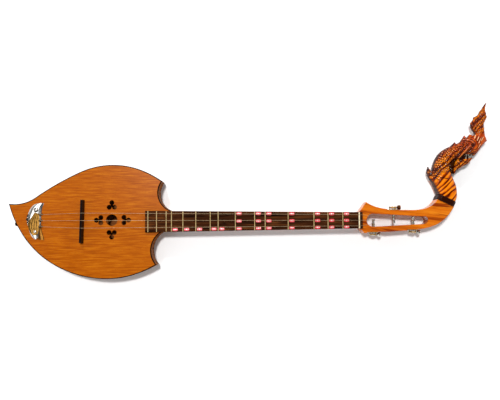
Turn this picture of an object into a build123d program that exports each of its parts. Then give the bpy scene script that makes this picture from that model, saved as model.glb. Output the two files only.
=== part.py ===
from build123d import *
from math import acos, atan2, cos, hypot, pi, radians, sin, tan
import os

os.makedirs("parts", exist_ok=True)

# A three-string fretted lute with a leaf-shaped body and a carved serpent head.
# Millimetres. The origin lies on the flat back beneath the bridge. +X runs along the neck to the
# head, +Y is to the player's bass side, and +Z comes out of the soundboard.

# ---------------------------------------------------------------- driving dimensions
# Levels above the flat back
BODY_DEPTH = 45.0
TOP_THICK = 3.2
SHELL_TOP = BODY_DEPTH - TOP_THICK
BACK_THICK = 8.0
WALL_THICK = 10.0
BACK_EDGE_RADIUS = 6.0
BOARD_TOP = 51.0
PEGHEAD_BACK, PEGHEAD_FACE = 8.0, 43.0

# Body plan
TAIL_TIP = (-163.3, 41)
UPPER_HORN = (170.6, 88)
LOWER_HORN = (158.3, -93.2)
HEEL_END = 200.0
CAVITY_START, CAVITY_END = -88.0, 136.0
BINDING_WIDTH = 2.0
BINDING_ROUND = 1.3

# Neck, fretboard and string layout
SCALE_LENGTH = 608.0
NUT_X = 597.3
NUT_WIDTH = 2.6
BOARD_START, BOARD_END = 135.0, 607.0
HALF_WIDTH_START, HALF_WIDTH_END = 23.3, 17.6
FRET_STEPS = (1, 2, 3, 5, 7, 8, 10, 12, 13, 15, 17, 19, 20, 22, 24)
FRET_CROWN_WIDTH, FRET_CROWN_HEIGHT = 2.2, 1.0
FRET_TANG_WIDTH, FRET_TANG_DEPTH = 0.5, 1.8
FRET_SLOT_WIDTH, FRET_SLOT_DEPTH = 0.56, 2.0
STRING_RADIUS = 0.32
STRING_GAP = 0.03
NUT_STRING_Z = 52.7
BRIDGE_STRING_Z = 57.6
TAIL_STRING_Z = 49.0
STRINGS_AT_TAIL = (-9.6, 3.4, 16.6)
STRINGS_AT_BRIDGE = (-13.2, 3.0, 19.2)
STRINGS_AT_NUT = (-12.1, -0.2, 12.1)

# Sound holes
ROSE_CENTRE = (61.5, 3.8)
ROSE_RADIUS = 12.6
# Direction of each trefoil from the rose, in degrees, and its distance
TREFOILS = ((0, 29.8), (90, 31.4), (180, 27.0), (270, 30.2))
TREFOIL_HOLE_RADIUS = 5.4
TREFOIL_HOLE_OFFSET = 6.6

# Finial axis, measured from +X, and the collar it grows out of
FINIAL_ANGLE = 64.6
COLLAR_CENTRE = (792.2, 41.8)
COLLAR_LENGTH, COLLAR_WIDTH = 41.0, 12.0
COLLAR_LOW, COLLAR_HIGH = 3.0, 46.0
CORE_LENGTH, CORE_LOW, CORE_HIGH = 27.0, 11.0, 38.0
GLUE_GAP = 0.05

# Tuning machines: post place along the neck, the side of the peghead (+1 is +Y), the flat that the
# plate is screwed to, where the post ends, and where its string arrives
TUNERS = (
    {"x": 632.3, "side": -1, "seat": 25.2, "reach": 27.7, "string_y": -8.0},
    {"x": 677.0, "side": 1, "seat": 22.0, "reach": 28.2, "string_y": 4.8},
    {"x": 719.3, "side": -1, "seat": 20.4, "reach": 27.6, "string_y": 0.4},
)
STRING_TUNERS = (0, 2, 1)
POST_Z = 35.5
POST_RADIUS, POST_BORE_RADIUS = 3.25, 3.31
POST_WAIST_RADIUS = 2.6
GEAR_TEETH = 14
GEAR_MODULE = 0.67
GEAR_THICK = 2.0
GEAR_OUT = 5.9
PLATE_THICK = 1.2
PLATE_BACK, PLATE_FRONT = -13.0, 8.4
PLATE_UP, PLATE_DOWN = 6.8, 16.0
PLATE_SCREWS = ((-9.9, 1.5), (2.0, 13.4))
PLATE_SCREW_HOLE_RADIUS, PLATE_SCREW_HOLE_DEPTH = 0.85, 8.0
PEG_WALL_REACH = 17.0
EAR_INNER, EAR_THICK, EAR_WIDTH, EAR_OUT = 5.8, 1.2, 5.4, 9.0
SHAFT_RADIUS, SHAFT_BORE_RADIUS = 1.5, 1.55
WORM_ROOT_RADIUS, WORM_CREST_RADIUS = 2.1, 3.25
WORM_PITCH_RADIUS = 2.75
WORM_PITCH = pi * GEAR_MODULE
WORM_OFFSET = GEAR_TEETH * GEAR_MODULE / 2 + WORM_PITCH_RADIUS
BUTTON_START, BUTTON_LENGTH, BUTTON_RADIUS = 8.9, 8.6, 5.2


def save(builder, name):
    builder.part.label = name
    export_step(builder.part, f"parts/{name}.step")


def board_half_width(x):
    slope = (HALF_WIDTH_END - HALF_WIDTH_START) / (BOARD_END - BOARD_START)
    return HALF_WIDTH_START + slope * (x - BOARD_START)


def fret_x(step):
    return NUT_X - SCALE_LENGTH * (1 - 2 ** (-step / 12))


# ---------------------------------------------------------------- body plan
heel_half = board_half_width(HEEL_END)

with BuildSketch() as body_plan:
    with BuildLine():
        tail_hook = ThreePointArc(TAIL_TIP, (-138.3, 41), (-105.1, 54.4))
        bass_flank = TangentArc((-105.1, 54.4), (-8.5, 109.4), tangent=tail_hook % 1)
        bass_bulge = TangentArc((-8.5, 109.4), (121.1, 114.5), tangent=bass_flank % 1)
        TangentArc((121.1, 114.5), UPPER_HORN, tangent=bass_bulge % 1)
        ThreePointArc(UPPER_HORN, (163.5, 52.5), (193.5, heel_half))
        Polyline((193.5, heel_half), (HEEL_END, heel_half), (HEEL_END, -heel_half),
                 (170, -heel_half))
        ThreePointArc((170, -heel_half), (147, -62.5), LOWER_HORN)
        treble_bulge = ThreePointArc(LOWER_HORN, (100.9, -117.5), (37.1, -123.2))
        treble_flank = TangentArc((37.1, -123.2), (-58, -95.5), tangent=treble_bulge % 1)
        tail_flank = TangentArc((-58, -95.5), (-124.6, -37.9), tangent=treble_flank % 1)
        tail_edge = TangentArc((-124.6, -37.9), TAIL_TIP, tangent=tail_flank % 1)
    make_face()

with BuildSketch() as soundboard_plan:
    add(body_plan.sketch)
    offset(amount=-BINDING_WIDTH, mode=Mode.REPLACE)

with BuildSketch() as cavity_plan:
    add(body_plan.sketch)
    offset(amount=-WALL_THICK, mode=Mode.REPLACE)
    with Locations((CAVITY_START, 0)):
        Rectangle(CAVITY_END - CAVITY_START, 400, align=(Align.MIN, Align.CENTER),
                  mode=Mode.INTERSECT)

# The strap button stands at the middle of the tail edge, square to it
STRAP_Z = 22.0
strap_point = tail_edge @ 0.5 + Vector(0, 0, STRAP_Z)
strap_direction = (tail_edge % 0.5).cross(Vector(0, 0, -1))
strap_plane = Plane(strap_point, x_dir=(0, 0, 1), z_dir=strap_direction)

# ---------------------------------------------------------------- body shell
TENON_START, TENON_HALF, TENON_LOW = 152.0, 14.0, 22.0
STRAP_SCREW_HOLE_RADIUS, STRAP_SCREW_HOLE_DEPTH = 2.05, 18.0
TAIL_SCREWS = ((-102.9, 26.9), (-104.6, -20.2))
TAIL_SCREW_HOLE_RADIUS, TAIL_SCREW_HOLE_DEPTH = 1.5, 14.0

with BuildPart() as body_shell:
    with BuildSketch():
        add(body_plan.sketch)
    extrude(amount=SHELL_TOP)
    fillet(body_shell.edges().group_by(Axis.Z)[0], BACK_EDGE_RADIUS)
    with BuildSketch(Plane.XY.offset(BACK_THICK)):
        add(cavity_plan.sketch)
    extrude(amount=SHELL_TOP - BACK_THICK, mode=Mode.SUBTRACT)
    # Mortise for the neck, open at the heel and at the top
    with BuildSketch(Plane.XY.offset(TENON_LOW - GLUE_GAP)):
        with Locations((TENON_START - GLUE_GAP, 0)):
            Rectangle(HEEL_END - TENON_START + 1, 2 * (TENON_HALF + GLUE_GAP),
                      align=(Align.MIN, Align.CENTER))
    extrude(amount=SHELL_TOP - TENON_LOW + 1, mode=Mode.SUBTRACT)
    # Screw holes in the tail block
    with BuildSketch(strap_plane):
        Circle(STRAP_SCREW_HOLE_RADIUS)
    extrude(amount=STRAP_SCREW_HOLE_DEPTH, both=True, mode=Mode.SUBTRACT)
    with BuildSketch(Plane.XY.offset(SHELL_TOP)):
        with Locations(*TAIL_SCREWS):
            Circle(TAIL_SCREW_HOLE_RADIUS)
    extrude(amount=-TAIL_SCREW_HOLE_DEPTH, mode=Mode.SUBTRACT)
save(body_shell, "body_shell")

# ---------------------------------------------------------------- soundboard, edging and braces
with BuildPart() as soundboard:
    with BuildSketch(Plane.XY.offset(SHELL_TOP)):
        add(soundboard_plan.sketch)
        with Locations(ROSE_CENTRE):
            Circle(ROSE_RADIUS, mode=Mode.SUBTRACT)
            # Four trefoils round the rose, each with one hole pointing away from it
            for direction, distance in TREFOILS:
                with PolarLocations(distance, 1, start_angle=direction):
                    with PolarLocations(TREFOIL_HOLE_OFFSET, 3):
                        Circle(TREFOIL_HOLE_RADIUS, mode=Mode.SUBTRACT)
                    Circle(TREFOIL_HOLE_RADIUS / 2, mode=Mode.SUBTRACT)
        with Locations(*TAIL_SCREWS):
            Circle(TAIL_SCREW_HOLE_RADIUS, mode=Mode.SUBTRACT)
    extrude(amount=TOP_THICK)
save(soundboard, "soundboard")

with BuildPart() as edge_binding:
    with BuildSketch(Plane.XY.offset(SHELL_TOP)):
        add(body_plan.sketch)
        add(soundboard_plan.sketch, mode=Mode.SUBTRACT)
    extrude(amount=TOP_THICK)
    fillet(edge_binding.faces().sort_by(Axis.Z)[-1].outer_wire().edges(), BINDING_ROUND)
save(edge_binding, "edge_binding")

BRACE_WIDTH, BRACE_DEPTH, BRACE_END_RADIUS = 8.0, 11.0, 7.0
for name, brace_x, brace_low, brace_high in (
    ("brace_lower", 14, -108, 104),
    ("brace_upper", 112, -98, 100),
):
    with BuildPart() as brace:
        with Locations((brace_x, (brace_low + brace_high) / 2, SHELL_TOP)):
            Box(BRACE_WIDTH, brace_high - brace_low, BRACE_DEPTH,
                align=(Align.CENTER, Align.CENTER, Align.MAX))
        ends = brace.edges().filter_by(Axis.X).group_by(Axis.Z)[0]
        fillet(ends, BRACE_END_RADIUS)
    save(brace, name)

# ---------------------------------------------------------------- strap button on the tail edge
with BuildPart() as strap_button:
    with BuildSketch(Plane(strap_point, x_dir=strap_direction, z_dir=tail_edge % 0.5)):
        with BuildLine():
            Polyline((0.2, 2.2), (0.2, 4.2), (1.6, 4.2))
            ThreePointArc((1.6, 4.2), (4.6, 3), (7.2, 4.6))
            ThreePointArc((7.2, 4.6), (8.8, 4.3), (9.2, 3.4))
            Polyline((9.2, 3.4), (9.2, 2.2), (0.2, 2.2))
        make_face()
    revolve(axis=Axis(strap_point, strap_direction))
save(strap_button, "strap_button")


def screw(plane, head_radius, head_height, shank_radius, shank_length, slot_width=0.8):
    """Round-head slotted screw. The plane's origin is under the head and its normal points out."""
    with BuildPart(plane) as made:
        Cylinder(head_radius, head_height, align=(Align.CENTER, Align.CENTER, Align.MIN))
        fillet(made.faces().sort_by(Axis(plane.origin, plane.z_dir))[-1].edges(),
               head_height * 0.75)
        with Locations((0, 0, head_height)):
            Box(2.2 * head_radius, slot_width, head_height, mode=Mode.SUBTRACT)
        Cylinder(shank_radius, shank_length, align=(Align.CENTER, Align.CENTER, Align.MAX))
    return made.part


def save_group(solids, name):
    with BuildPart() as group:
        for solid in solids:
            add(solid)
    save(group, name)


STRAP_SCREW_HEAD_PLACE = 9.25
save_group([screw(strap_plane.offset(STRAP_SCREW_HEAD_PLACE), 3.0, 1.5, 2.0, 24.0)],
           "strap_screw")

# ---------------------------------------------------------------- neck
NECK_SHOULDER = 7.0
NECK_DEPTH_HEEL, NECK_DEPTH_NUT = 27.0, 23.0

with BuildPart() as neck:
    for x, depth in ((HEEL_END + GLUE_GAP, NECK_DEPTH_HEEL), (BOARD_END, NECK_DEPTH_NUT)):
        half = board_half_width(x)
        with BuildSketch(Plane((x, 0, BODY_DEPTH), x_dir=(0, 1, 0), z_dir=(1, 0, 0))):
            with BuildLine():
                Polyline((-half, -NECK_SHOULDER), (-half, 0), (half, 0), (half, -NECK_SHOULDER))
                Spline((half, -NECK_SHOULDER), (0.72 * half, -0.72 * depth), (0, -depth),
                       (-0.72 * half, -0.72 * depth), (-half, -NECK_SHOULDER),
                       tangents=[(0, -1), (0, 1)])
            make_face()
    loft(ruled=True)
    # Tenon that sits in the body's mortise
    with BuildSketch(Plane.XY.offset(TENON_LOW)):
        with Locations((TENON_START, 0)):
            Rectangle(HEEL_END - TENON_START + 1, 2 * TENON_HALF,
                      align=(Align.MIN, Align.CENTER))
    extrude(amount=SHELL_TOP - TENON_LOW - GLUE_GAP)
save(neck, "neck")

# ---------------------------------------------------------------- fretboard, nut, frets, dots
NUT_SEAT_Z = 47.5
NUT_TOP = NUT_STRING_Z + 0.25
NUT_GROOVE_GAP = 0.2
RAMP_FOOT_Z = 46.2
nut_point_x = NUT_X + NUT_WIDTH - 0.3

with BuildPart() as fretboard:
    with BuildSketch(Plane.XY.offset(BODY_DEPTH)):
        Polygon(
            (BOARD_START, -HALF_WIDTH_START), (BOARD_END, -HALF_WIDTH_END),
            (BOARD_END, HALF_WIDTH_END), (BOARD_START, HALF_WIDTH_START), align=None)
    extrude(amount=BOARD_TOP - BODY_DEPTH)
    # Ramp behind the nut, so that the strings can dive to their posts
    with BuildSketch(Plane.XZ):
        Polygon((NUT_X + NUT_WIDTH, BOARD_TOP), (BOARD_END, RAMP_FOOT_Z),
                (BOARD_END, BOARD_TOP), align=None)
    extrude(amount=30, both=True, mode=Mode.SUBTRACT)
    with Locations((NUT_X, 0, NUT_SEAT_Z)):
        Box(NUT_WIDTH, 50, 10, align=(Align.MIN, Align.CENTER, Align.MIN), mode=Mode.SUBTRACT)
    with Locations(*[(fret_x(step), 0, BOARD_TOP) for step in FRET_STEPS]):
        Box(FRET_SLOT_WIDTH, 60, 2 * FRET_SLOT_DEPTH, mode=Mode.SUBTRACT)
save(fretboard, "fretboard")

with BuildPart() as nut:
    half = board_half_width(NUT_X)
    with Locations((NUT_X + GLUE_GAP, 0, NUT_SEAT_Z + GLUE_GAP)):
        Box(NUT_WIDTH - 2 * GLUE_GAP, 2 * half - 0.6, NUT_TOP - NUT_SEAT_Z - GLUE_GAP,
            align=(Align.MIN, Align.CENTER, Align.MIN))
    fillet(nut.edges().filter_by(Axis.Y).group_by(Axis.Z)[-1], 0.5)
    with Locations(*[(nut_point_x, y, NUT_TOP) for y in STRINGS_AT_NUT]):
        Box(2 * NUT_WIDTH, 1.2, 2 * (NUT_TOP - NUT_STRING_Z + STRING_RADIUS + NUT_GROOVE_GAP),
            mode=Mode.SUBTRACT)
save(nut, "nut")

for number, step in enumerate(FRET_STEPS, 1):
    x = fret_x(step)
    length = 2 * board_half_width(x) - 0.8
    with BuildPart() as fret:
        with BuildSketch(Plane((x, 0, BOARD_TOP), x_dir=(1, 0, 0), z_dir=(0, 1, 0))):
            # The plane's y points down, into the board
            with BuildLine():
                ThreePointArc((-FRET_CROWN_WIDTH / 2, 0), (0, -FRET_CROWN_HEIGHT),
                              (FRET_CROWN_WIDTH / 2, 0))
                Line((FRET_CROWN_WIDTH / 2, 0), (-FRET_CROWN_WIDTH / 2, 0))
            make_face()
            Rectangle(FRET_TANG_WIDTH, FRET_TANG_DEPTH, align=(Align.CENTER, Align.MIN))
        extrude(amount=length / 2, both=True)
    save(fret, f"fret_{number:02d}")

# Small rounded stickers beside the frets: three across up to the tenth, then one per fret
MARKER_LENGTH, MARKER_WIDTH, MARKER_THICK, MARKER_CORNER = 11.5, 6.4, 0.2, 2.4
MARKER_FROM_FRET = 8.0
TRIPLE_MARKER_STEPS = (1, 2, 3, 5, 7, 8, 10)
SINGLE_MARKER_STEPS = (12, 13, 15, 17, 19)
MARKER_ROW = 0.78

marker_places = [(fret_x(step) + MARKER_FROM_FRET, row * MARKER_ROW)
                 for step in TRIPLE_MARKER_STEPS for row in (-1, 0, 1)]
marker_places += [(fret_x(step) + MARKER_FROM_FRET, -MARKER_ROW) for step in SINGLE_MARKER_STEPS]

with BuildPart() as fret_markers:
    with BuildSketch(Plane.XY.offset(BOARD_TOP)):
        with Locations(*[(x, row * board_half_width(x)) for x, row in marker_places]):
            RectangleRounded(MARKER_LENGTH, MARKER_WIDTH, MARKER_CORNER)
    extrude(amount=MARKER_THICK)
save(fret_markers, "fret_markers")

# ---------------------------------------------------------------- peghead
collar_x_dir = (sin(radians(FINIAL_ANGLE)), -cos(radians(FINIAL_ANGLE)), 0)
finial_dir = (cos(radians(FINIAL_ANGLE)), sin(radians(FINIAL_ANGLE)), 0)
finial_plan = Plane((*COLLAR_CENTRE, 0), x_dir=collar_x_dir, z_dir=(0, 0, 1))


def at_finial(along, across):
    """Plan point given along the finial's axis and across it, from the collar's centre."""
    return (COLLAR_CENTRE[0] + along * finial_dir[0] + across * collar_x_dir[0],
            COLLAR_CENTRE[1] + along * finial_dir[1] + across * collar_x_dir[1])


def seat_plane(tuner):
    """The flat under a tuner's plate: x runs along the neck and the normal points outwards."""
    return Plane((tuner["x"], tuner["side"] * tuner["seat"], POST_Z),
                 x_dir=(1, 0, 0), z_dir=(0, tuner["side"], 0))


def plate_screw_places(tuner):
    """On the seat plane, local y points to the back on one side and to the front on the other."""
    return [(x, tuner["side"] * down) for x, down in PLATE_SCREWS]


COLLAR_SHOULDER = -COLLAR_WIDTH / 2 - GLUE_GAP
shoulder_left = at_finial(COLLAR_SHOULDER, -COLLAR_LENGTH / 2 + 0.8)
shoulder_right = at_finial(COLLAR_SHOULDER, COLLAR_LENGTH / 2 - 0.8)
SLOT_WIDE_END, SLOT_WIDE_RADIUS = (630.5, 0.2), 14.3
SLOT_NARROW_END, SLOT_NARROW_RADIUS = (742.0, -0.6), 8.2
PEGHEAD_START = 600.0
HOUSING_HALF = board_half_width(PEGHEAD_START) + GLUE_GAP
CORE_REACH = COLLAR_WIDTH + 16.0

with BuildPart() as peghead:
    with BuildSketch(Plane.XY.offset(PEGHEAD_BACK)):
        with BuildLine():
            Line((PEGHEAD_START, HALF_WIDTH_END), (616, 40))
            Spline((616, 40), (634, 30.5), (660, 24.5), (695, 22.4), (728, 22.2), (752, 27.6),
                   shoulder_left)
            Line(shoulder_left, shoulder_right)
            Spline(shoulder_right, (794, 9), (779, -4.5), (754, -15.8), (712, -22.2),
                   (659, -25.6), (610.5, -28))
            Polyline((610.5, -28), (606, -22.6), (PEGHEAD_START, -HALF_WIDTH_END),
                     (PEGHEAD_START, HALF_WIDTH_END))
        make_face()
        with Locations((BOARD_END + GLUE_GAP, 0)):
            Rectangle(20, 2 * HOUSING_HALF, align=(Align.MAX, Align.CENTER), mode=Mode.SUBTRACT)
    extrude(amount=PEGHEAD_FACE - PEGHEAD_BACK)
    rims = peghead.faces().filter_by(Axis.Z).edges()
    chamfer(rims, 1.2)
    # The tapered slot that the strings and posts share
    with BuildSketch(Plane.XY.offset(PEGHEAD_BACK)):
        with Locations(SLOT_WIDE_END):
            Circle(SLOT_WIDE_RADIUS)
        with Locations(SLOT_NARROW_END):
            Circle(SLOT_NARROW_RADIUS)
        make_hull()
    extrude(amount=PEGHEAD_FACE - PEGHEAD_BACK, mode=Mode.SUBTRACT)
    # Core that carries the collar and the finial
    with BuildSketch(finial_plan.offset(CORE_LOW)):
        with Locations((0, COLLAR_SHOULDER)):
            Rectangle(CORE_LENGTH, CORE_REACH, align=(Align.CENTER, Align.MIN))
    extrude(amount=CORE_HIGH - CORE_LOW)
    # Flats and bores for the tuning machines
    for tuner in TUNERS:
        with Locations((tuner["x"] - 15, tuner["side"] * tuner["seat"], POST_Z)):
            side_align = Align.MIN if tuner["side"] > 0 else Align.MAX
            Box(38, 12, 80, align=(Align.MIN, side_align, Align.CENTER), mode=Mode.SUBTRACT)
        with BuildSketch(seat_plane(tuner)):
            Circle(POST_BORE_RADIUS)
        extrude(amount=-PEG_WALL_REACH, mode=Mode.SUBTRACT)
        with BuildSketch(seat_plane(tuner)):
            with Locations(*plate_screw_places(tuner)):
                Circle(PLATE_SCREW_HOLE_RADIUS)
        extrude(amount=-PLATE_SCREW_HOLE_DEPTH, mode=Mode.SUBTRACT)
save(peghead, "peghead")

# ---------------------------------------------------------------- collar and finial
COLLAR_CORNER, COLLAR_EDGE = 9.0, 2.0
collar_mid = (COLLAR_LOW + COLLAR_HIGH) / 2
core_mid = (CORE_LOW + CORE_HIGH) / 2


def finial_section(along, level):
    """Plane across the finial's axis. Its x runs across the finial and its y points down."""
    return Plane((*at_finial(along, 0), level), x_dir=collar_x_dir, z_dir=finial_dir)


with BuildPart() as collar_band:
    with BuildSketch(finial_section(0, collar_mid)):
        RectangleRounded(COLLAR_LENGTH, COLLAR_HIGH - COLLAR_LOW, COLLAR_CORNER)
    extrude(amount=COLLAR_WIDTH / 2, both=True)
    rims = [face.outer_wire().edges() for face in collar_band.faces()
            if abs(face.normal_at().dot(Vector(*finial_dir))) > 0.99]
    fillet([edge for rim in rims for edge in rim], COLLAR_EDGE)
    with BuildSketch(finial_section(0, core_mid)):
        Rectangle(CORE_LENGTH + 2 * GLUE_GAP, CORE_HIGH - CORE_LOW + 2 * GLUE_GAP)
    extrude(amount=COLLAR_WIDTH, both=True, mode=Mode.SUBTRACT)
save(collar_band, "collar_band")

FINIAL_BASE = COLLAR_WIDTH / 2 + GLUE_GAP
base_left = at_finial(FINIAL_BASE, -COLLAR_LENGTH / 2 + 0.6)
base_right = at_finial(FINIAL_BASE, COLLAR_LENGTH / 2 - 0.6)
SERPENT_HIGH = 43.5
HEAD_LOW, HEAD_HIGH = 5.0, 39.0
JAW_LOW, JAW_HIGH = 8.0, 36.0
CREST_LOW, CREST_HIGH = 12.0, 31.0

with BuildPart() as naga_head:
    # Neck of the serpent, which lies on the same surface as the body's back
    with BuildSketch():
        with BuildLine():
            Line(base_left, base_right)
            Spline(base_right, (819, 58), (818, 74), (811, 92), (808, 106), (808.5, 122),
                   (817, 134))
            Line((817, 134), (809, 163))
            Spline((809, 163), (795, 158), (780, 143), (770, 124), (766.5, 108), (758, 118),
                   (755.5, 103), (764.5, 86), (773, 70), base_left)
        make_face()
    extrude(amount=SERPENT_HIGH)
    # Head and upper jaw
    with BuildSketch(Plane.XY.offset(HEAD_LOW)):
        with BuildLine():
            Spline((792, 153), (805, 162), (822, 169), (850, 184), (874, 192), (889, 188))
            Spline((889, 188), (889, 176), (871, 150), (864, 143.5), (844, 146), (829, 138))
            Polyline((829, 138), (811, 128), (792, 153))
        make_face()
    extrude(amount=HEAD_HIGH - HEAD_LOW)
    # Lower jaw and chin
    with BuildSketch(Plane.XY.offset(JAW_LOW)):
        Polygon((812, 119), (811.5, 108), (815, 99.5), (839, 118.5), (852, 125), (853, 129.5),
                (838, 135), (828, 139), (812, 136), align=None)
    extrude(amount=JAW_HIGH - JAW_LOW)
    # Flame-shaped crest
    with BuildSketch(Plane.XY.offset(CREST_LOW)):
        with BuildLine():
            Spline((864, 190), (855.5, 210), (864, 228), (878, 243), (892.5, 261))
            Spline((892.5, 261), (890.5, 247), (891.5, 230), (886, 211), (887.5, 185))
            Line((887.5, 185), (864, 190))
        make_face()
    extrude(amount=CREST_HIGH - CREST_LOW)
    # Short flames along the nape
    with BuildSketch(Plane.XY.offset(CREST_LOW)):
        Polygon((803, 158), (819.5, 173), (826, 166), align=None)
        Polygon((824, 165), (841, 188.5), (850, 179), align=None)
        Polygon((842, 178), (853.5, 190.5), (866, 184), align=None)
    extrude(amount=CREST_HIGH - CREST_LOW - 2)
    # Socket for the peghead's core
    with BuildSketch(finial_plan.offset(CORE_LOW - GLUE_GAP)):
        Rectangle(CORE_LENGTH + 2 * GLUE_GAP, 2 * (COLLAR_SHOULDER + CORE_REACH + GLUE_GAP))
    extrude(amount=CORE_HIGH - CORE_LOW + 2 * GLUE_GAP, mode=Mode.SUBTRACT)
save(naga_head, "naga_head")

# ---------------------------------------------------------------- bridge
# Set a little behind the end of the scale, which makes up for the strings' stretch when fretted
BRIDGE_CENTRE = (-2.4, 1.2)
BRIDGE_LEAN = 1.3
BRIDGE_LENGTH, BRIDGE_FOOT, BRIDGE_CREST = 93.4, 8.0, 4.6
BRIDGE_TOP = BRIDGE_STRING_Z + 0.5
GROOVE_WIDTH, GROOVE_CLEARANCE = 1.2, 0.35
bridge_dir = (sin(radians(BRIDGE_LEAN)), cos(radians(BRIDGE_LEAN)), 0)

with BuildPart() as bridge:
    with BuildSketch(Plane((*BRIDGE_CENTRE, BODY_DEPTH), x_dir=(bridge_dir[1], -bridge_dir[0], 0),
                           z_dir=bridge_dir)):
        # The plane's y points down
        height = BRIDGE_TOP - BODY_DEPTH
        Polygon((-BRIDGE_FOOT / 2, 0), (BRIDGE_FOOT / 2, 0), (BRIDGE_CREST / 2, -height),
                (-BRIDGE_CREST / 2, -height), align=None)
    extrude(amount=BRIDGE_LENGTH / 2, both=True)
    fillet(bridge.faces().sort_by(Axis.Z)[-1].edges(), 1.2)
    for y in STRINGS_AT_BRIDGE:
        with Locations((BRIDGE_CENTRE[0], y, BRIDGE_TOP)):
            Box(20, GROOVE_WIDTH, 2 * (BRIDGE_TOP - BRIDGE_STRING_Z + STRING_RADIUS
                                       + GROOVE_CLEARANCE), mode=Mode.SUBTRACT)
save(bridge, "bridge")

# ---------------------------------------------------------------- tailpiece
TAIL_PLATE_THICK, TAIL_PANEL_THICK = 1.4, 1.6
PEG_RADIUS, PEG_CAP_RADIUS, PEG_TOP = 1.5, 2.1, 51.4
TAIL_PEG_X = -93.5
TAIL_PLATE_TOP = BODY_DEPTH + TAIL_PLATE_THICK

with BuildPart() as tailpiece:
    with BuildSketch(Plane.XY.offset(BODY_DEPTH)):
        with BuildLine():
            Spline((-86, 42), (-96, 42), (-109, 36.5), (-117.5, 26), (-121.5, 14.5))
            Polyline((-121.5, 14.5), (-125.4, 3.2), (-121.5, -6))
            Spline((-121.5, -6), (-114, -23.5), (-104, -36.6))
            ThreePointArc((-104, -36.6), (-95, -34.6), (-86, -39))
            Spline((-86, -39), (-91, -20), (-90.5, 0), (-91.5, 20), (-86, 42))
        make_face()
        with Locations(*TAIL_SCREWS):
            Circle(TAIL_SCREW_HOLE_RADIUS, mode=Mode.SUBTRACT)
    extrude(amount=TAIL_PLATE_THICK)
    # Raised middle panel and the three string pegs along the front edge
    with BuildSketch(Plane.XY.offset(TAIL_PLATE_TOP)):
        Polygon((-112, 17), (-98, 17), (-99, -11), (-114, -11), align=None)
    extrude(amount=TAIL_PANEL_THICK)
    for y in STRINGS_AT_TAIL:
        with Locations((TAIL_PEG_X, y, TAIL_PLATE_TOP)):
            Cylinder(PEG_RADIUS, PEG_TOP - TAIL_PLATE_TOP,
                     align=(Align.CENTER, Align.CENTER, Align.MIN))
        with Locations((TAIL_PEG_X, y, PEG_TOP)):
            Cylinder(PEG_CAP_RADIUS, 1.0, align=(Align.CENTER, Align.CENTER, Align.MIN))
save(tailpiece, "tailpiece")

save_group([screw(Plane((x, y, TAIL_PLATE_TOP + GLUE_GAP)), 3.2, 1.9, 1.45, 15.0)
            for x, y in TAIL_SCREWS], "tailpiece_screws")

# ---------------------------------------------------------------- strings
LOOP_RADIUS = 2.2
BRIDGE_BEND_RADIUS, NUT_BEND_RADIUS = 10.0, 1.5
wrap_radius = POST_WAIST_RADIUS + STRING_RADIUS + STRING_GAP


def tangent_point(post_x):
    """Where a string from the nut meets the top of its winding: x and z."""
    back_x, back_z = nut_point_x - post_x, NUT_STRING_Z - POST_Z
    angle = atan2(back_z, back_x) - acos(wrap_radius / hypot(back_x, back_z))
    return post_x + wrap_radius * cos(angle), POST_Z + wrap_radius * sin(angle)


for index, tuner_index in enumerate(STRING_TUNERS):
    tuner = TUNERS[tuner_index]
    y_tail, y_bridge = STRINGS_AT_TAIL[index], STRINGS_AT_BRIDGE[index]
    bridge_x = BRIDGE_CENTRE[0] + (y_bridge - BRIDGE_CENTRE[1]) * tan(radians(BRIDGE_LEAN))
    end_x, end_z = tangent_point(tuner["x"])
    with BuildPart() as string:
        with BuildLine() as route:
            FilletPolyline(
                (TAIL_PEG_X + LOOP_RADIUS, y_tail, TAIL_STRING_Z),
                (bridge_x, y_bridge, BRIDGE_STRING_Z),
                (nut_point_x, STRINGS_AT_NUT[index], NUT_STRING_Z),
                (end_x, tuner["string_y"], end_z),
                radius=(BRIDGE_BEND_RADIUS, NUT_BEND_RADIUS))
        with BuildSketch(Plane(route.line @ 0, z_dir=route.line % 0)):
            Circle(STRING_RADIUS)
        sweep()
        with Locations((TAIL_PEG_X, y_tail, TAIL_STRING_Z)):
            Torus(LOOP_RADIUS, STRING_RADIUS)
    save(string, f"string_{index + 1}")

# ---------------------------------------------------------------- tuning machines
WORM_THREAD_TURNS = 3
WORM_BODY_HALF = EAR_INNER - 0.15
SHAFT_BACK, SHAFT_FRONT = -8.4, 16.5
THREAD_ROOT_HALF, THREAD_CREST_HALF = 0.5, 0.26
THREAD_ROOT_RADIUS = WORM_ROOT_RADIUS - 0.15
GEAR_TIP_RADIUS, GEAR_ROOT_RADIUS = 5.2, 3.95
TOOTH_ROOT_WIDTH, TOOTH_TIP_WIDTH = 1.0, 0.45
GEAR_FACE = GEAR_OUT - GEAR_THICK / 2
STUB_RADIUS = 1.9
WAIST_START, WAIST_END = -13.2, -24.4
STRING_HOLE_PLACE, STRING_HOLE_RADIUS = -22.4, 0.9
TAP_RADIUS, TAP_DEPTH = 1.0, 5.5
WINDING_TURNS, WINDING_PITCH = 4, 0.68

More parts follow.
